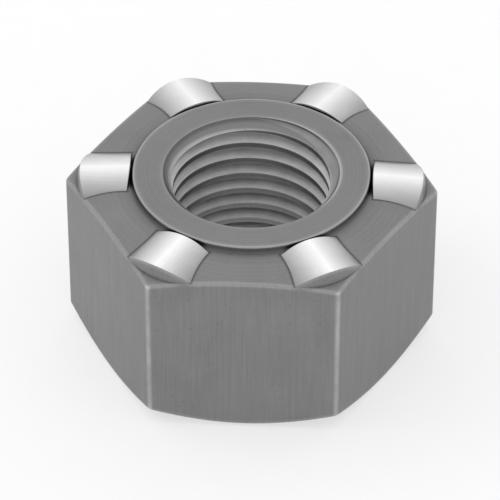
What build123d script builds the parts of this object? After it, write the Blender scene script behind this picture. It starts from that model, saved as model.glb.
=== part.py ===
from math import cos, radians, sin, sqrt, tan
import os

from build123d import *

# A hexagon weld nut, cold formed in one piece of steel. It stands on its plain face with its
# six weld projections up. The origin is the centre of the plain face, +Z runs along the bore,
# and the corners lie on +X and at every 60 degrees from it.

# Hexagon body
corner_count = 6
across_flats = 17.46
body_height = 10.6
corner_rounding = 0.3
edge_rounding = 0.1

# Plain face, inside the chamfer that takes the corners off
base_face_diameter = 16.7
base_chamfer_angle = 30

# Washer face, a step above the crowned shoulder that falls to the corners
washer_face_diameter = 12.8
washer_face_step = 0.3
washer_face_draft = 15
foot_rounding = 0.2
shoulder_angle = 11
shoulder_crown_radius = 11

# Bore at the thread's minor diameter, countersunk at both mouths
minor_diameter = 8.5
countersink_diameter = 9.55
countersink_angle = 90

# Weld projections: barrels that slope down from the washer face to each corner, with ends that
# bulge in plan and lean inwards
barrel_radius = 3.4
barrel_slope = 4
projection_height = 0.12
washer_face_gap = 0.12
corner_setback = 0.55
inner_end_radius = 9
outer_end_radius = 3.9
end_draft = 14
end_rounding = 0.1
seat_depth = 0.1

# Body: sizes that follow
across_corners = across_flats * 2 / sqrt(3)
corner_reach = across_corners / 2
washer_face_radius = washer_face_diameter / 2
foot_radius = washer_face_radius + washer_face_step * tan(radians(washer_face_draft))
foot_z = body_height - washer_face_step
shoulder_drop = (corner_reach - foot_radius) * tan(radians(shoulder_angle))
shoulder_rim_z = foot_z - shoulder_drop
clear_radius = across_corners
chamfer_rise = (clear_radius - base_face_diameter / 2) * tan(radians(base_chamfer_angle))

# Projections: the barrel's axis runs outwards under its crest, and the ends are measured on a
# level plane at the foot of the shoulder, where the draft has brought them in or out
slope = radians(barrel_slope)
outward = Vector(cos(slope), 0, -sin(slope))
upward = Vector(sin(slope), 0, cos(slope))
crest_start = Vector(washer_face_radius, 0, body_height + projection_height)
axis_start = crest_start - upward * barrel_radius - outward * corner_reach
barrel_length = 2 * across_corners
root_z = shoulder_rim_z - seat_depth
root_spread = (body_height - root_z) * tan(radians(end_draft))
inner_root = washer_face_radius + washer_face_gap - root_spread
outer_root = corner_reach - corner_setback
inner_centre = inner_root + inner_end_radius
outer_centre = outer_root - outer_end_radius
outline_height = body_height + 2 * projection_height - root_z
barrel_plane = Plane(axis_start, x_dir=(0, 1, 0), z_dir=outward)
seat_tilt = radians(shoulder_angle)
seat_plane = Plane((foot_radius, 0, foot_z - seat_depth), z_dir=(sin(seat_tilt), 0, cos(seat_tilt)))

# One projection, on the corner at +X
with BuildPart() as projection:
    with BuildSketch(barrel_plane):
        Circle(barrel_radius)
    extrude(amount=barrel_length)
    with BuildSketch(Plane.XY.offset(root_z)):
        with Locations((outer_centre, 0)):
            Circle(outer_end_radius)
        with Locations((inner_centre, 0)):
            Circle(inner_end_radius, mode=Mode.INTERSECT)
    extrude(amount=outline_height, taper=end_draft, mode=Mode.INTERSECT)
    split(bisect_by=seat_plane, keep=Keep.TOP)
    crown = projection.faces().filter_by(GeomType.CYLINDER)[0]
    end_edges = crown.edges().filter_by(GeomType.BSPLINE)
    fillet(end_edges, end_rounding)

with BuildPart() as weld_nut:
    # Hexagonal bar with its corners just broken
    with BuildSketch() as hexagon:
        RegularPolygon(across_flats / 2, corner_count, major_radius=False)
        fillet(hexagon.vertices(), corner_rounding)
    extrude(amount=body_height)

    # Chamfered base, crowned shoulder and washer face, all round
    with BuildSketch(Plane.XZ) as half_section:
        with BuildLine():
            shoulder = RadiusArc(
                (foot_radius, foot_z), (corner_reach, shoulder_rim_z), shoulder_crown_radius
            )
            Polyline(
                shoulder @ 0,
                (washer_face_radius, body_height),
                (0, body_height),
                (0, 0),
                (base_face_diameter / 2, 0),
                (clear_radius, chamfer_rise),
                (clear_radius, shoulder_rim_z),
                shoulder @ 1,
            )
        make_face()
        foot = half_section.vertices().sort_by_distance((foot_radius, foot_z))[0]
        fillet(foot, foot_rounding)
    revolve(axis=Axis.Z, mode=Mode.INTERSECT)
    straight_or_round = (GeomType.LINE, GeomType.CIRCLE)
    scalloped_rims = weld_nut.edges().filter_by(lambda edge: edge.geom_type not in straight_or_round)
    fillet(scalloped_rims, edge_rounding)

    with PolarLocations(0, corner_count):
        add(projection.part)

    # Bore, countersunk from the washer face and from the plain face
    for mouth in (Plane.XY.offset(body_height), -Plane.XY):
        with Locations(mouth):
            CounterSinkHole(
                minor_diameter / 2, countersink_diameter / 2, counter_sink_angle=countersink_angle
            )

weld_nut.part.label = "weld_nut"
os.makedirs("parts", exist_ok=True)
export_step(weld_nut.part, "parts/weld_nut.step")
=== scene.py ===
from math import cos, hypot, pi, radians, sin, sqrt, tan

import bmesh
import bpy
import numpy as np
from mathutils import Matrix, Vector


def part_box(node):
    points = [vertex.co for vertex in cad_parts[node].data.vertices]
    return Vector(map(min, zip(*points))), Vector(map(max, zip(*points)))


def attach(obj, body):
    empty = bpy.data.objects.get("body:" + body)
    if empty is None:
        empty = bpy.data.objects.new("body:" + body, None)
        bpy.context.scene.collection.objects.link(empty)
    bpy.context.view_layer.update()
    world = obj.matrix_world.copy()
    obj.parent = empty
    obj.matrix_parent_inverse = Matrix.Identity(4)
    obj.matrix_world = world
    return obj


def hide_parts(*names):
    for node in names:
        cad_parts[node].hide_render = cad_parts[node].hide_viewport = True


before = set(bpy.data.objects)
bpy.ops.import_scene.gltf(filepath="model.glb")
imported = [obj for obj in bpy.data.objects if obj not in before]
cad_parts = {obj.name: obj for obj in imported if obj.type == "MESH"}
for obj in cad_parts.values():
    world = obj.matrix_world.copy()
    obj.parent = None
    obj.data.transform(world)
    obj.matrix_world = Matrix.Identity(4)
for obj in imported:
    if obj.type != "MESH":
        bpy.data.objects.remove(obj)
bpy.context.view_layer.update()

# Lengths are in millimetres until a mesh is made, and metres after that.
MM = 0.001

# The nut, as the frame has it: the plain face at z = 0, the corners on +X and every 60 degrees
CORNERS = 6
SECTOR = 2 * pi / CORNERS
HALF_FLATS = (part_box("weld_nut")[1] / MM).y
HEIGHT = 10.6
CORNER_ROUNDING = 0.3
EDGE_ROUNDING = 0.12
FINE_ROUNDING = 0.05
BASE_FACE_RADIUS = 8.35
BASE_CHAMFER = radians(30)
WASHER_RADIUS = 6.4
WASHER_STEP = 0.3
WASHER_DRAFT = radians(15)
SHOULDER_ANGLE = radians(11)
SHOULDER_CROWN = 11
FOOT_ROUNDING = 0.2
MINOR_RADIUS = 4.25
MOUTH_RADIUS = 4.775

# 3/8-24 UNF internal thread, cut by a tap
PITCH = 25.4 / 24
MAJOR_RADIUS = 9.525 / 2
FLANK = radians(30)
FIRST_CREST_DEPTH = 1.56
CREST_BEARING = radians(90)

# Weld projections
BARREL_RADIUS = 3.4
BARREL_SLOPE = radians(4)
PROJECTION_HEIGHT = 0.12
WASHER_GAP = 0.12
CORNER_SETBACK = 0.55
INNER_END_RADIUS = 9.0
OUTER_END_RADIUS = 3.9
END_DRAFT = radians(14)
END_ROUNDING = 0.1
SEAT_DEPTH = 0.1
# The most of an end's height that its rounded edge takes, where the end runs out to nothing
ROUNDING_SHARE = 0.45
# Rounds in which a point, moved half way in each, settles on two surfaces at once
SETTLING_ROUNDS = 60

# Sizes that follow
CORNER_REACH = HALF_FLATS / cos(SECTOR / 2)
FOOT_RADIUS = WASHER_RADIUS + WASHER_STEP * tan(WASHER_DRAFT)
FOOT_Z = HEIGHT - WASHER_STEP
SHOULDER_RIM_Z = FOOT_Z - (CORNER_REACH - FOOT_RADIUS) * tan(SHOULDER_ANGLE)
SEAT_Z = FOOT_Z - SEAT_DEPTH
ROOT_Z = SHOULDER_RIM_Z - SEAT_DEPTH
SINK = MOUTH_RADIUS - MINOR_RADIUS

# Material slots, the same on every mesh that the nut is made from
BODY, CROWN, THREAD = range(3)

# Greys of the steel: the crown's go from its sides to a painted sheen on its crest, and the
# thread's from its crests to painted shade in its grooves
BODY_DARK, BODY_LIGHT = 0.2, 0.265
CROWN_DARK, CROWN_SHEEN_GREY = 0.31, 0.92
GROOVE_SHADE_GREY, CREST_GREY = 0.54, 0.62

# What they are multiplied by: in creases as painted shade, on rubbed edges as wear with a painted
# highlight, in pits and on the nut's two ends
CREASE_SHADE_DARKEST, CROWN_CREASE_SHADE_DARKEST = 0.3, 0.35
EDGE_WEAR_AND_HIGHLIGHT, CORNER_WEAR_AND_HIGHLIGHT = 2.1, 1.65
PIT_BOTTOM = 0.84
END_TONE = 0.98

# The shares that painted shade, in dark lines and films, takes off them
FOOT_SHADE_FILM, FOOT_SHADE_LINE = 0.22, 0.4
BARREL_SHADE_LINE = 0.62
MOUTH_SHADE_FILM, MOUTH_SHADE_LINE = 0.06, 0.5

# How far the painted shade and the painted highlights reach, and half the width over which a
# crown's painted sheen turns greyer, in millimetres
CREASE_SHADE_REACH, CROWN_CREASE_SHADE_REACH = 0.26, 0.2
WEAR_AND_HIGHLIGHT_REACH = 0.28
CORNER_WEAR_AND_HIGHLIGHT_DEPTH = 0.5
FOOT_SHADE_FILM_WIDTH = 0.9
BARREL_SHADE_LINE_DEPTH = 0.1
CROWN_HALF_WIDTH = 1.95


# Meshes

def make_object(name, points, faces, slots):
    """A mesh object from points in millimetres, with one material slot for each face."""
    mesh = bpy.data.meshes.new(name)
    mesh.from_pydata([Vector(p) * MM for p in points], [], faces)
    mesh.polygons.foreach_set("material_index", slots)
    bm = bmesh.new()
    bm.from_mesh(mesh)
    bmesh.ops.remove_doubles(bm, verts=bm.verts, dist=1e-4 * MM)
    bmesh.ops.dissolve_degenerate(bm, edges=bm.edges, dist=1e-5 * MM)
    bmesh.ops.recalc_face_normals(bm, faces=bm.faces)
    bm.to_mesh(mesh)
    bm.free()
    for material in NUT_MATERIALS:
        mesh.materials.append(material)
    thing = bpy.data.objects.new(name, mesh)
    bpy.context.scene.collection.objects.link(thing)
    return thing


def quads(rows, columns, close_rows=False, close_columns=False):
    """Faces of a grid whose point (row, column) has the index row * columns + column."""
    faces = []
    for i in range(rows if close_rows else rows - 1):
        for j in range(columns if close_columns else columns - 1):
            below, right = (i + 1) % rows, (j + 1) % columns
            faces.append((
                i * columns + j, i * columns + right, below * columns + right, below * columns + j
            ))
    return faces


def rounded_path(path):
    """Points of a closed path given as (point, rounding, steps), with arcs at the corners."""
    points = []
    for k, (corner, rounding, steps) in enumerate(path):
        corner = np.array(corner, float)
        if not steps:
            points.append(corner)
            continue
        before = np.array(path[k - 1][0], float) - corner
        after = np.array(path[(k + 1) % len(path)][0], float) - corner
        before, after = before / np.linalg.norm(before), after / np.linalg.norm(after)
        half = np.arccos(np.clip(before @ after, -1, 1)) / 2
        inward = (before + after) / np.linalg.norm(before + after)
        centre = corner + inward * rounding / sin(half)
        sweep = pi - 2 * half
        side = before - inward * (before @ inward)
        side /= np.linalg.norm(side)
        for step in range(steps + 1):
            turn = sweep * (0.5 - step / steps)
            points.append(centre + rounding * (side * sin(turn) - inward * cos(turn)))
    return points


def shoulder_height(radius):
    """Height of the crowned shoulder at that distance from the bore's axis."""
    run, drop = CORNER_REACH - FOOT_RADIUS, FOOT_Z - SHOULDER_RIM_Z
    half_chord = hypot(run, drop) / 2
    back = sqrt(SHOULDER_CROWN ** 2 - half_chord ** 2)
    centre_radius = FOOT_RADIUS + run / 2 - back * drop / (2 * half_chord)
    centre_z = FOOT_Z - drop / 2 - back * run / (2 * half_chord)
    return centre_z + sqrt(SHOULDER_CROWN ** 2 - (radius - centre_radius) ** 2)


def hexagon_outline(flat_steps=14, corner_steps=5):
    """Points round a hexagon with rounded corners, counter-clockwise from the corner on +X."""
    inner = HALF_FLATS - CORNER_ROUNDING
    start = inner * tan(SECTOR / 2)
    half = [(HALF_FLATS, start * step / flat_steps) for step in range(flat_steps)]
    for step in range(corner_steps + 1):
        turn = SECTOR / 2 * step / corner_steps
        half.append((inner + CORNER_ROUNDING * cos(turn), start + CORNER_ROUNDING * sin(turn)))
    flat = [(x, -y) for x, y in reversed(half)][:-1] + half[:-1]
    outline = []
    for k in range(CORNERS):
        facing = SECTOR * (k + 0.5)
        for x, y in flat:
            outline.append((x * cos(facing) - y * sin(facing), x * sin(facing) + y * cos(facing)))
    return outline


def make_blank():
    """The hexagon with its plain bore: one closed section for each point of the outline."""
    points = []
    sections = hexagon_outline()
    shoulder_steps, side_steps = 8, 6
    for x, y in sections:
        reach = hypot(x, y)
        top = shoulder_height(reach)
        bottom = (reach - BASE_FACE_RADIUS) * tan(BASE_CHAMFER)
        path = [
            ((MINOR_RADIUS, SINK), 0, 0),
            ((MINOR_RADIUS, HEIGHT - SINK), 0, 0),
            ((MOUTH_RADIUS, HEIGHT), FINE_ROUNDING, 4),
            ((WASHER_RADIUS, HEIGHT), FINE_ROUNDING, 5),
            ((FOOT_RADIUS, FOOT_Z), FOOT_ROUNDING, 6),
        ]
        for step in range(1, shoulder_steps):
            along = FOOT_RADIUS + (reach - FOOT_RADIUS) * step / shoulder_steps
            path.append(((along, shoulder_height(along)), 0, 0))
        path.append(((reach, top), EDGE_ROUNDING, 6))
        for step in range(1, side_steps):
            path.append(((reach, top + (bottom - top) * step / side_steps), 0, 0))
        path += [
            ((reach, bottom), EDGE_ROUNDING, 5),
            ((BASE_FACE_RADIUS, 0), EDGE_ROUNDING, 3),
            ((MOUTH_RADIUS, 0), FINE_ROUNDING, 4),
        ]
        section = rounded_path(path)
        points += [(x / reach * r, y / reach * r, z) for r, z in section]
    faces = quads(len(sections), len(section), close_rows=True, close_columns=True)
    return make_object("blank", points, faces, [BODY] * len(faces))


def tap_profile(core_depth=0.25, soft_depth=0.035):
    """Section of the tap's ridge: distance along the axis from its middle, and radius.

    It starts core_depth under the bore's wall, and its tip is rounded off by soft_depth.
    """
    core_radius = MINOR_RADIUS - core_depth
    half_flat = PITCH / 16
    flank_run = (MAJOR_RADIUS - core_radius) * tan(FLANK)
    soft_width = 1.6 * soft_depth
    half = [(half_flat + flank_run, core_radius)]
    for share in (0, 0.5, 1):
        turn = (pi / 2 - FLANK) * (1 - share)
        along = half_flat - soft_depth + soft_width * sin(turn)
        half.append((along, MAJOR_RADIUS - soft_depth * (1 - cos(turn))))
    return [(-along, radius) for along, radius in half] + half[::-1]


def make_tap(turns=13, segments=240):
    """A tap's worm, closed at both ends, that cuts the thread into the plain bore."""
    profile = tap_profile()
    # The tap's groove lies half a pitch from its ridge, where it leaves the nut's crest standing
    crest_z = HEIGHT - FIRST_CREST_DEPTH
    ridge_z = crest_z - PITCH / 2 - PITCH * CREST_BEARING / (2 * pi)
    start_z = ridge_z - PITCH * np.ceil((ridge_z + PITCH) / PITCH)
    columns, rows = len(profile), turns * segments + 1
    points = []
    for k in range(rows):
        turn = 2 * pi * k / segments
        rise = start_z + PITCH * k / segments
        for along, radius in profile:
            points.append((radius * cos(turn), radius * sin(turn), rise + along))
    faces = quads(rows, columns)
    for k in range(rows - segments - 1):
        here, above = k * columns + columns - 1, (k + segments) * columns
        faces.append((here, here + columns, above + columns, above))
    # Both ends are closed by a fan of triangles round a point on the axis
    low_centre, high_centre = len(points), len(points) + 1
    points += [(0, 0, start_z - PITCH), (0, 0, start_z + PITCH * (turns + 1))]
    low_loop = [k * columns for k in range(segments + 1)]
    low_loop += [j for j in range(columns - 1, 0, -1)]
    last = (rows - 1) * columns
    high_loop = [(rows - 1 - segments + k) * columns + columns - 1 for k in range(segments + 1)]
    high_loop += [last + j for j in range(columns - 2, -1, -1)]
    for loop, centre in ((low_loop, low_centre), (high_loop, high_centre)):
        for k, corner in enumerate(loop):
            faces.append((corner, loop[(k + 1) % len(loop)], centre))
    return make_object("tap", points, faces, [THREAD] * len(faces))


class Barrel:
    """One weld projection on the corner at +X: its barrel, its two ends and its seat."""

    def __init__(self):
        spread = (HEIGHT - ROOT_Z) * tan(END_DRAFT)
        self.inner_centre = WASHER_RADIUS + WASHER_GAP - spread + INNER_END_RADIUS
        self.outer_centre = CORNER_REACH - CORNER_SETBACK - OUTER_END_RADIUS
        self.crest_z = HEIGHT + PROJECTION_HEIGHT

    def crown(self, x, y):
        """Height of the barrel's surface over (x, y)."""
        lift = sqrt(max(BARREL_RADIUS ** 2 - y ** 2, 0)) - BARREL_RADIUS
        return self.crest_z - (x - WASHER_RADIUS) * tan(BARREL_SLOPE) + lift / cos(BARREL_SLOPE)

    def seat(self, x):
        """Height of the flat seat, just under the shoulder."""
        return SEAT_Z - (x - FOOT_RADIUS) * tan(SHOULDER_ANGLE)

    def end(self, y, z, outer):
        """Where an end face is at that height and distance to the side."""
        full = OUTER_END_RADIUS if outer else INNER_END_RADIUS
        reach = sqrt(max((full - (z - ROOT_Z) * tan(END_DRAFT)) ** 2 - y ** 2, 0))
        return self.outer_centre + reach if outer else self.inner_centre - reach

    def half_width(self, x):
        """Distance to the side at which the barrel meets its seat."""
        rise = (self.crown(x, 0) - self.seat(x)) * cos(BARREL_SLOPE)
        return sqrt(max(BARREL_RADIUS ** 2 - (BARREL_RADIUS - rise) ** 2, 0))

    def crown_end(self, share, outer):
        """The point of an end's upper edge at that share of the half width."""
        x = CORNER_REACH if outer else WASHER_RADIUS
        for _ in range(SETTLING_ROUNDS):
            y = share * self.half_width(x)
            x = 0.5 * x + 0.5 * self.end(y, self.crown(x, y), outer)
        y = share * self.half_width(x)
        return np.array((x, y, self.crown(x, y)))

    def seat_end(self, y, outer):
        """The point of an end's lower edge on the seat."""
        x = CORNER_REACH if outer else WASHER_RADIUS
        for _ in range(SETTLING_ROUNDS):
            x = 0.5 * x + 0.5 * self.end(y, self.seat(x), outer)
        return np.array((x, y, self.seat(x)))


def barrel_end(barrel, share, outer, down, soft_steps):
    """Points up one end face at that share of its width, and on over the rounded edge."""
    top = barrel.crown_end(share, outer)
    foot = barrel.seat_end(top[1], outer)
    soft = min(END_ROUNDING, ROUNDING_SHARE * (top[2] - foot[2]))
    back_x = top[0] - soft if outer else top[0] + soft
    back = np.array((back_x, top[1], barrel.crown(back_x, top[1])))
    lower_z = top[2] - soft
    lower = np.array((barrel.end(top[1], lower_z, outer), top[1], lower_z))
    line = []
    for step in range(down + 1):
        z = foot[2] + (lower_z - foot[2]) * step / down
        line.append((barrel.end(top[1], z, outer), top[1], z))
    for step in range(1, soft_steps + 1):
        t = step / soft_steps
        line.append(tuple((1 - t) ** 2 * lower + 2 * t * (1 - t) * top + t ** 2 * back))
    return line


def make_projection(across=48, along=12, down=5, soft_steps=6):
    """One barrel as a grid: up its inner end, along its crown and down its outer end."""
    barrel = Barrel()
    points = []
    for column in range(across + 1):
        share = sin(pi / 2 * (2 * column / across - 1))
        inner = barrel_end(barrel, share, False, down, soft_steps)
        outer = barrel_end(barrel, share, True, down, soft_steps)
        crown = []
        for step in range(1, along):
            x, y = (a + (b - a) * step / along for a, b in zip(inner[-1][:2], outer[-1][:2]))
            crown.append((x, y, barrel.crown(x, y)))
        points += inner + crown + outer[::-1]
    columns = across + 1
    rows = len(points) // columns
    # The crown's bright metal ends half way round the rounded edges
    up_to_crown = down + soft_steps // 2
    ends = [BODY] * up_to_crown
    strip = ends + [CROWN] * (rows - 1 - 2 * up_to_crown) + ends
    projection = make_object("projection", points, quads(columns, rows), strip * across)
    bm = bmesh.new()
    bm.from_mesh(projection.data)
    rim = [edge for edge in bm.edges if edge.is_boundary]
    bmesh.ops.contextual_create(bm, geom=rim)
    bmesh.ops.recalc_face_normals(bm, faces=bm.faces)
    bm.to_mesh(projection.data)
    bm.free()
    return projection


def spread_projections(first):
    """The projection copied to every corner, as one mesh of separate solids."""
    bm = bmesh.new()
    bm.from_mesh(first.data)
    base = list(bm.verts) + list(bm.edges) + list(bm.faces)
    for k in range(1, CORNERS):
        copied = bmesh.ops.duplicate(bm, geom=base)["geom"]
        verts = [item for item in copied if isinstance(item, bmesh.types.BMVert)]
        turn = Matrix.Rotation(SECTOR * k, 3, "Z")
        bmesh.ops.rotate(bm, verts=verts, cent=(0, 0, 0), matrix=turn)
    bm.to_mesh(first.data)
    bm.free()


def settle(target):
    """target's mesh with its modifiers applied."""
    depsgraph = bpy.context.evaluated_depsgraph_get()
    settled = bpy.data.meshes.new_from_object(target.evaluated_get(depsgraph))
    target.modifiers.clear()
    target.data = settled


def combine(target, other, operation):
    """target joined with other, or cut by it. other is used up."""
    modifier = target.modifiers.new(operation.lower(), "BOOLEAN")
    modifier.operation = operation
    modifier.solver = "MANIFOLD"
    modifier.material_mode = "INDEX"
    modifier.object = other
    settle(target)
    bpy.data.objects.remove(other)


def clean(nut, sliver=0.0005):
    """Takes out the slivers that the booleans leave, up to that many millimetres wide."""
    bm = bmesh.new()
    bm.from_mesh(nut.data)
    bmesh.ops.remove_doubles(bm, verts=bm.verts, dist=sliver * MM)
    bmesh.ops.dissolve_degenerate(bm, edges=bm.edges, dist=sliver * MM)
    bm.to_mesh(nut.data)
    bm.free()


def smooth(nut):
    """Smooth shading, broken at the edges where two faces meet at a real angle."""
    nut.data.shade_smooth()
    nut.data.set_sharp_from_angle(angle=radians(22))
    weighted = nut.modifiers.new("weighted", "WEIGHTED_NORMAL")
    weighted.keep_sharp = True
    settle(nut)


def make_nut():
    """Makes the finished nut in one mesh: the blank, its projections and its thread."""
    nut = make_blank()
    projections = make_projection()
    spread_projections(projections)
    combine(nut, projections, "UNION")
    combine(nut, make_tap(), "DIFFERENCE")
    clean(nut)
    smooth(nut)
    nut.name = "threaded_nut"
    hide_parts("weld_nut")
    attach(nut, "root")


# Materials

class Nodes:
    """Short names for the nodes that the materials are made of, with places in millimetres."""

    def __init__(self, name):
        self.material = bpy.data.materials.new(name)
        self.material.use_nodes = True
        self.tree = self.material.node_tree
        self.shader = self.tree.nodes["Principled BSDF"]
        coordinates = self.tree.nodes.new("ShaderNodeTexCoord")
        self.place = self.vector("SCALE", coordinates.outputs["Object"], Scale=1 / MM)
        self.facing = self.split(coordinates.outputs["Normal"])
        self.x, self.y, self.z = self.split(self.place)
        self.radius = self.vector("LENGTH", self.stretch(1, 1, 0), output="Value")
        self.outwards, self.lateral = self.from_corner()

    def put(self, value, socket):
        """A constant or another node's output on a socket."""
        if isinstance(value, bpy.types.NodeSocket):
            self.tree.links.new(value, socket)
        else:
            socket.default_value = value

    def math(self, operation, *values):
        node = self.tree.nodes.new("ShaderNodeMath")
        node.operation = operation
        for value, socket in zip(values, node.inputs):
            self.put(value, socket)
        return node.outputs[0]

    def vector(self, operation, *values, output="Vector", **named):
        node = self.tree.nodes.new("ShaderNodeVectorMath")
        node.operation = operation
        for value, socket in zip(values, node.inputs):
            self.put(value, socket)
        for name, value in named.items():
            self.put(value, node.inputs[name])
        return node.outputs[output]

    def split(self, vector):
        node = self.tree.nodes.new("ShaderNodeSeparateXYZ")
        self.put(vector, node.inputs[0])
        return node.outputs[0], node.outputs[1], node.outputs[2]

    def join(self, x, y, z=0.0):
        node = self.tree.nodes.new("ShaderNodeCombineXYZ")
        for value, socket in zip((x, y, z), node.inputs):
            self.put(value, socket)
        return node.outputs[0]

    def stretch(self, x, y, z):
        """The place with each coordinate multiplied."""
        return self.vector("MULTIPLY", self.place, (x, y, z))

    def noise(self, vector, scale, detail=3.0, roughness=0.55):
        node = self.tree.nodes.new("ShaderNodeTexNoise")
        self.put(vector, node.inputs["Vector"])
        self.put(scale, node.inputs["Scale"])
        self.put(detail, node.inputs["Detail"])
        self.put(roughness, node.inputs["Roughness"])
        return node.outputs["Fac"]

    def between(self, value, from_low, from_high, to_low=0.0, to_high=1.0):
        """value moved from one range to another and held inside it."""
        node = self.tree.nodes.new("ShaderNodeMapRange")
        for number, socket in zip((value, from_low, from_high, to_low, to_high), node.inputs):
            self.put(number, socket)
        return node.outputs[0]

    def blend(self, share, first, second):
        """first where share is 0, second where it is 1."""
        node = self.tree.nodes.new("ShaderNodeMix")
        factor, zero_side, one_side = node.inputs[0], node.inputs[2], node.inputs[3]
        for value, socket in zip((share, first, second), (factor, zero_side, one_side)):
            self.put(value, socket)
        return node.outputs[0]

    def product(self, first, *others):
        """All the values multiplied together."""
        whole = first
        for value in others:
            whole = self.math("MULTIPLY", whole, value)
        return whole

    def without(self, share):
        """What that share leaves of 1."""
        return self.math("SUBTRACT", 1.0, share)

    def rings(self, outwards, upwards, detail=3.0, roughness=0.55):
        """Noise in rings round the bore, squeezed that many times outwards and upwards."""
        section = self.join(self.product(self.radius, outwards), self.product(self.z, upwards))
        return self.noise(section, 1.0, detail, roughness)

    def total(self, *parts):
        """The sum of (value, weight) pairs."""
        whole = None
        for value, weight in parts:
            part = self.math("MULTIPLY", value, weight)
            whole = part if whole is None else self.math("ADD", whole, part)
        return whole

    def openness(self, distance, inside=False):
        """1 on open ground, and less the more of the metal stands within that distance."""
        node = self.tree.nodes.new("ShaderNodeAmbientOcclusion")
        node.samples = 12
        node.only_local = True
        node.inside = inside
        node.inputs["Distance"].default_value = distance * MM
        return node.outputs["AO"]

    def from_corner(self):
        """Distance out along the nearest corner's centre line, and to the left of that line."""
        bearing = self.math("ARCTAN2", self.y, self.x)
        corner = self.math("ROUND", self.math("DIVIDE", bearing, SECTOR))
        off_centre = self.math("SUBTRACT", bearing, self.product(corner, SECTOR))
        outwards = self.product(self.radius, self.math("COSINE", off_centre))
        return outwards, self.product(self.radius, self.math("SINE", off_centre))

    def depth(self):
        """Distance below the nearer of the nut's two end faces."""
        off_middle = self.math("ABSOLUTE", self.math("SUBTRACT", self.z, HEIGHT / 2))
        return self.math("SUBTRACT", HEIGHT / 2, off_middle)

    def mouth_shade(self, further_in):
        """Share that painted shade takes off: a dark line under each mouth's edge, and that share
        inside it.
        """
        depth = self.depth()
        line = self.between(depth, 0.07, 0.24, MOUTH_SHADE_LINE, further_in)
        under_edge = self.math("GREATER_THAN", depth, 0.012)
        inside = self.math("LESS_THAN", self.radius, MOUTH_RADIUS)
        return self.product(line, under_edge, inside)

    def grey(self, value, coolness=1.012):
        """A neutral colour, a touch cool as bare steel is."""
        node = self.tree.nodes.new("ShaderNodeCombineColor")
        self.put(value, node.inputs[0])
        self.put(value, node.inputs[1])
        self.put(self.product(value, coolness), node.inputs[2])
        return node.outputs[0]

    def finish(self, value, roughness, relief, depth, metallic=1.0):
        """Steel of that grey value, with relief between 0 and 1 that is depth millimetres deep."""
        self.put(self.grey(value), self.shader.inputs["Base Color"])
        self.put(roughness, self.shader.inputs["Roughness"])
        self.shader.inputs["Metallic"].default_value = metallic
        bump = self.tree.nodes.new("ShaderNodeBump")
        bump.inputs["Strength"].default_value = 1.0
        bump.inputs["Distance"].default_value = depth * MM
        self.put(relief, bump.inputs["Height"])
        self.put(bump.outputs["Normal"], self.shader.inputs["Normal"])
        return self.material


def corner_wear_and_highlight(steel, upright):
    """How many times lighter the corners' lines of wear and painted highlight are, in patches, on
    the upright sides.
    """
    on_corner = steel.between(steel.math("ABSOLUTE", steel.lateral), 0.04, 0.2, 1.0, 0.0)
    outermost = steel.math("GREATER_THAN", steel.radius, CORNER_REACH - CORNER_WEAR_AND_HIGHLIGHT_DEPTH)
    patchy = steel.between(steel.noise(steel.place, 1.3, 2.0), 0.3, 0.7, 0.55, 1.1)
    line = steel.product(on_corner, outermost, patchy, upright)
    return steel.between(line, 0.0, 1.0, 1.0, CORNER_WEAR_AND_HIGHLIGHT)


def foot_shade(steel):
    """Share that painted shade takes off round the washer face's foot: a dark line in the crease,
    and a film outside it.
    """
    on_top = steel.math("GREATER_THAN", steel.z, HEIGHT / 2)
    below_face = steel.math("LESS_THAN", steel.z, HEIGHT - 0.06)
    outside = steel.math("GREATER_THAN", steel.radius, WASHER_RADIUS)
    film_end = FOOT_RADIUS + FOOT_SHADE_FILM_WIDTH
    film = steel.between(steel.radius, FOOT_RADIUS, film_end, FOOT_SHADE_FILM, 0.0)
    line = steel.between(steel.radius, FOOT_RADIUS - 0.02, FOOT_RADIUS + 0.16, FOOT_SHADE_LINE, 0.0)
    return steel.product(on_top, below_face, outside, steel.math("ADD", film, line))


def barrel_height(steel):
    """Height of the nearest projection's barrel, as Barrel.crown has it, over or under a point."""
    square = steel.product(steel.lateral, steel.lateral)
    rise = steel.math("SQRT", steel.math("SUBTRACT", BARREL_RADIUS ** 2, square))
    lift = steel.math("DIVIDE", steel.math("SUBTRACT", rise, BARREL_RADIUS), cos(BARREL_SLOPE))
    run = steel.math("SUBTRACT", steel.outwards, WASHER_RADIUS)
    fall = steel.product(run, tan(BARREL_SLOPE))
    return steel.math("ADD", steel.math("SUBTRACT", HEIGHT + PROJECTION_HEIGHT, fall), lift)


def barrel_shade(steel, on_end):
    """Share that painted shade takes off the shoulder, in a dark line along each projection's
    sides.
    """
    off_barrel = steel.math("ABSOLUTE", steel.math("SUBTRACT", barrel_height(steel), steel.z))
    line = steel.between(off_barrel, 0.0, BARREL_SHADE_LINE_DEPTH, BARREL_SHADE_LINE, 0.0)
    past_ring = steel.between(steel.radius, WASHER_RADIUS + 0.25, WASHER_RADIUS + 0.4)
    short_of_end = steel.between(steel.radius, CORNER_REACH - 1.0, CORNER_REACH - 0.85, 1.0, 0.0)
    return steel.product(line, past_ring, short_of_end, on_end)


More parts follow.
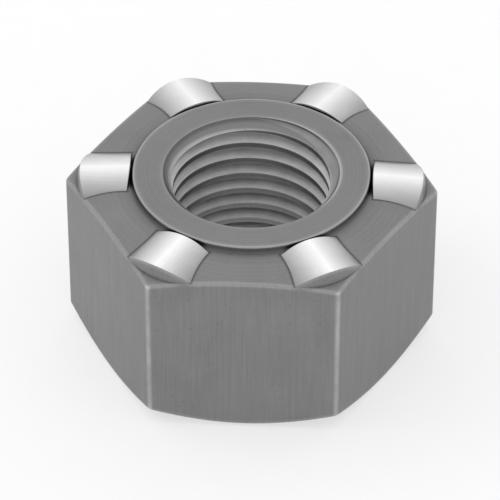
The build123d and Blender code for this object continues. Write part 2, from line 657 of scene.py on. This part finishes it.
def body_steel():
    """Cold-formed steel: drawn lines up the flats, turning marks on the ends, painted shade in the
    creases and painted highlights with wear on the edges.
    """
    steel = Nodes("cold_formed_steel")
    on_end = steel.between(steel.math("ABSOLUTE", steel.facing[2]), 0.55, 0.8)
    cloud = steel.noise(steel.place, 0.42, 4.0)
    grain = steel.noise(steel.place, 7.0, 4.0, 0.65)
    drawn = steel.noise(steel.stretch(7.0, 7.0, 0.22), 1.0, 5.0, 0.65)
    turned = steel.rings(9.0, 3.0, 4.0, 0.65)
    marks = steel.blend(on_end, drawn, turned)
    pits = steel.between(steel.noise(steel.place, 5.0, 1.0), 0.69, 0.76)

    mottled = steel.total((cloud, 0.35), (marks, 0.4), (grain, 0.25))
    plain = steel.between(mottled, 0.36, 0.64, BODY_DARK, BODY_LIGHT)
    tone = steel.between(on_end, 0.0, 1.0, 1.0, END_TONE)
    pitted = steel.between(pits, 0.0, 1.0, 1.0, PIT_BOTTOM)
    # painted shade: darker where the metal folds in, in creases and corners
    crease_shade = steel.between(steel.openness(CREASE_SHADE_REACH), 0.6, 0.985, CREASE_SHADE_DARKEST, 1.0)
    # wear and painted highlight: lighter on the convex edges
    wear_and_highlight = steel.between(steel.openness(WEAR_AND_HIGHLIGHT_REACH, inside=True), 0.6, 0.97, EDGE_WEAR_AND_HIGHLIGHT, 1.0)
    # wear and painted highlight: lighter lines down the hexagon's corners
    corner = corner_wear_and_highlight(steel, steel.without(on_end))
    # painted shade: dark lines under the mouths' edges and along the projections' sides
    lines = steel.math("ADD", steel.mouth_shade(MOUTH_SHADE_FILM), barrel_shade(steel, on_end))
    # painted shade round the washer face's foot and in the lines above; bare is what it leaves
    bare = steel.without(steel.math("ADD", foot_shade(steel), lines))
    value = steel.product(plain, tone, pitted, crease_shade, wear_and_highlight, corner, bare)

    scratched = steel.between(grain, 0.3, 0.7, 0.36, 0.46)
    handled = steel.between(cloud, 0.35, 0.65, -0.04, 0.05)
    roughness = steel.math("ADD", scratched, handled)
    relief = steel.total((marks, 0.6), (grain, 0.4), (pits, -0.6))
    return steel.finish(value, roughness, relief, depth=0.006)


def crown_steel():
    """Burnished metal on the projections, with a painted sheen: bright along the crest, greyer
    towards the sides.
    """
    steel = Nodes("burnished_crown_steel_painted_sheen")
    lengthwise = steel.join(steel.product(steel.lateral, 8.0), steel.product(steel.radius, 0.35))
    streaks = steel.noise(lengthwise, 1.0, 5.0, 0.65)
    cloud = steel.noise(steel.place, 1.4, 3.0)
    grain = steel.noise(steel.place, 9.0, 2.0)

    unevenness = 0.12
    # painted highlight: the crown's grey is lighter the nearer the crest, as a sheen along it
    aside = steel.math("DIVIDE", steel.math("ABSOLUTE", steel.lateral), CROWN_HALF_WIDTH)
    wander = steel.total((streaks, unevenness), (cloud, unevenness))
    crest = steel.math("SUBTRACT", 1 + unevenness, steel.math("ADD", aside, wander))
    painted_sheen = steel.math("POWER", steel.between(crest, 0.0, 1.0), 1.15)
    plain = steel.between(painted_sheen, 0.0, 1.0, CROWN_DARK, CROWN_SHEEN_GREY)
    openness = steel.openness(CROWN_CREASE_SHADE_REACH)
    # painted shade in the creases round the crown's foot
    crease_shade = steel.between(openness, 0.75, 0.985, CROWN_CREASE_SHADE_DARKEST, 1.0)
    value = steel.product(plain, crease_shade)

    scratched = steel.between(streaks, 0.3, 0.7, 0.24, 0.36)
    roughness = steel.math("ADD", scratched, steel.between(painted_sheen, 0.0, 1.0, 0.06, 0.0))
    relief = steel.total((streaks, 0.7), (grain, 0.3))
    return steel.finish(value, roughness, relief, depth=0.004)


def thread_steel():
    """Freshly cut metal: bright at the thread's crests and darker down in its grooves, as painted
    shade.
    """
    steel = Nodes("cut_thread_steel")
    lines = steel.rings(16.0, 9.0, 2.0)
    cloud = steel.noise(steel.place, 1.1, 3.0)
    cut = steel.total((lines, 0.5), (cloud, 0.5))
    # painted shade: greyer from the crests down to the grooves' roots
    plain = steel.between(steel.radius, MINOR_RADIUS, MAJOR_RADIUS, CREST_GREY, GROOVE_SHADE_GREY)
    handled = steel.between(steel.depth(), 0.5, 1.2, BODY_LIGHT, 1.0)
    dull = steel.math("MINIMUM", plain, handled)
    uneven = steel.between(cut, 0.35, 0.65, 0.85, 1.15)
    # painted shade: a dark line under each mouth's edge
    value = steel.product(dull, uneven, steel.without(steel.mouth_shade(0.0)))
    roughness = steel.between(cut, 0.35, 0.65, 0.42, 0.54)
    return steel.finish(value, roughness, lines, depth=0.005, metallic=0.45)


def white_rays(tree):
    """1 for rays that show a background as it is seen, directly or in metal or glass."""
    path = tree.nodes.new("ShaderNodeLightPath")
    whole = path.outputs["Is Camera Ray"]
    for kind in ("Is Glossy Ray", "Is Transmission Ray"):
        larger = tree.nodes.new("ShaderNodeMath")
        larger.operation = "MAXIMUM"
        tree.links.new(whole, larger.inputs[0])
        tree.links.new(path.outputs[kind], larger.inputs[1])
        whole = larger.outputs[0]
    return whole


def floor_white(glow=0.6):
    """Matt white card, of which that share is seen as plain white, so that shadows stay light."""
    card = Nodes("white_card")
    paper = card.between(card.noise(card.place, 0.6, 3.0), 0.3, 0.7, 0.96, 0.98)
    card.put(card.grey(paper), card.shader.inputs["Base Color"])
    card.shader.inputs["Roughness"].default_value = 0.9
    card.shader.inputs["Specular IOR Level"].default_value = 0.1
    white = card.tree.nodes.new("ShaderNodeEmission")
    blend = card.tree.nodes.new("ShaderNodeMixShader")
    card.put(card.product(white_rays(card.tree), glow), blend.inputs["Fac"])
    card.put(card.shader.outputs[0], blend.inputs[1])
    card.put(white.outputs[0], blend.inputs[2])
    card.put(blend.outputs[0], card.tree.nodes["Material Output"].inputs["Surface"])
    return card.material


# Camera, floor and light

# The view, which is aimed that many millimetres off the nut's middle
CAMERA_AZIMUTH = radians(-3.04)
CAMERA_ELEVATION = radians(39.83)
CAMERA_DISTANCE = 210.1
CAMERA_LENS = 276.7
AIM_RIGHT, AIM_UP = -0.074, -0.162

# Lamps: width and places in millimetres, power in watts
LAMP_SIZE = 300
KEY_PLACE, KEY_POWER = (-420, 60, 380), 0.45
CREST_PLACE, CREST_POWER = (-60, 330, 480), 0.04


def add_camera():
    """The photograph's view: from the front and above, a little to the right."""
    azimuth, elevation = CAMERA_AZIMUTH, CAMERA_ELEVATION
    level = cos(elevation)
    forward = Vector((sin(azimuth) * level, cos(azimuth) * level, -sin(elevation)))
    right = Vector((cos(azimuth), -sin(azimuth), 0))
    up = right.cross(forward)
    target = Vector((0, 0, HEIGHT / 2)) + right * AIM_RIGHT + up * AIM_UP
    data = bpy.data.cameras.new("camera")
    data.lens = CAMERA_LENS
    data.clip_start = 0.01
    camera = bpy.data.objects.new("camera", data)
    bpy.context.scene.collection.objects.link(camera)
    camera.location = (target - forward * CAMERA_DISTANCE) * MM
    camera.rotation_euler = forward.to_track_quat("-Z", "Y").to_euler()
    bpy.context.scene.camera = camera


def add_floor():
    """A white floor, a hair under the plain face."""
    half, drop = 1000.0, 0.02
    corners = [(-half, -half), (half, -half), (half, half), (-half, half)]
    mesh = bpy.data.meshes.new("floor")
    mesh.from_pydata([Vector((x, y, -drop)) * MM for x, y in corners], [], [(0, 1, 2, 3)])
    mesh.materials.append(floor_white())
    floor = bpy.data.objects.new("floor", mesh)
    bpy.context.scene.collection.objects.link(floor)


def add_world(background=1.0, ambient=0.93):
    """White all round, as seen and as reflected, and a plain level of light on the rest."""
    world = bpy.data.worlds.new("white_room")
    bpy.context.scene.world = world
    world.use_nodes = True
    tree = world.node_tree
    strength = tree.nodes.new("ShaderNodeMix")
    tree.links.new(white_rays(tree), strength.inputs[0])
    strength.inputs[2].default_value = ambient
    strength.inputs[3].default_value = background
    shader = tree.nodes["Background"]
    shader.inputs["Color"].default_value = (1, 1, 1, 1)
    tree.links.new(strength.outputs[0], shader.inputs["Strength"])


def add_lamp(name, place, power, mirrored=True):
    """A soft square lamp at that place in millimetres, turned to the nut."""
    data = bpy.data.lights.new(name, "AREA")
    data.size = LAMP_SIZE * MM
    data.energy = power
    lamp = bpy.data.objects.new(name, data)
    bpy.context.scene.collection.objects.link(lamp)
    lamp.location = Vector(place) * MM
    aim = Vector((0, 0, HEIGHT / 2)) - Vector(place)
    lamp.rotation_euler = aim.to_track_quat("-Z", "Y").to_euler()
    lamp.visible_camera = False
    lamp.visible_glossy = mirrored


NUT_MATERIALS = [body_steel(), crown_steel(), thread_steel()]
make_nut()
add_camera()
add_floor()
add_world()
add_lamp("key_lamp", KEY_PLACE, KEY_POWER, mirrored=False)
add_lamp("crest_lamp", CREST_PLACE, CREST_POWER)

bpy.context.scene.view_settings.view_transform = "Standard"
